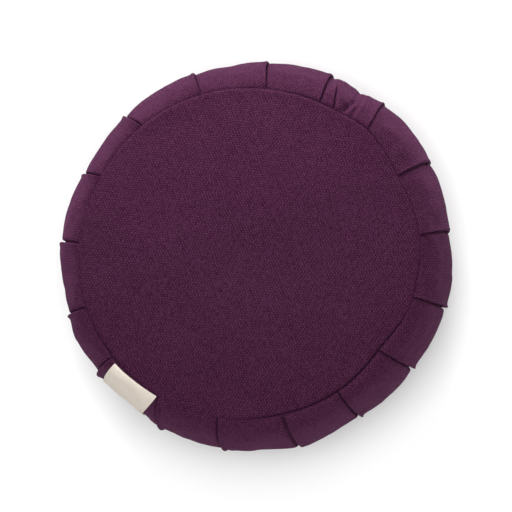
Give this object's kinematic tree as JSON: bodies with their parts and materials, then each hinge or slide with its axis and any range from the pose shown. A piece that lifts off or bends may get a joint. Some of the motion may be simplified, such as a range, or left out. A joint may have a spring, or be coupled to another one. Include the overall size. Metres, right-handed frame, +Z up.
{
  "type": "zafu meditation cushion",
  "caption": "Round pleated floor cushion with a crowned top round, a bulging knife-pleated side wall and a plain cloth label in the top seam.",
  "frame": {"origin": "on the floor, under the middle of the cushion, where its lower round rests", "axes": "+Z up through the crown of the top round; seen from above, the label lies between -X and -Y"},
  "size_m": [0.3328, 0.3309, 0.15],
  "materials": {
    "plum_canvas": "plain woven cotton canvas, matt",
    "cream_tape": "plain woven cotton tape, matt"
  },
  "bodies": {
    "root": {"filled_wall": "plum_canvas", "top_panel": "plum_canvas", "bottom_panel": "plum_canvas", "label": "cream_tape"}
  },
  "joints": []
}
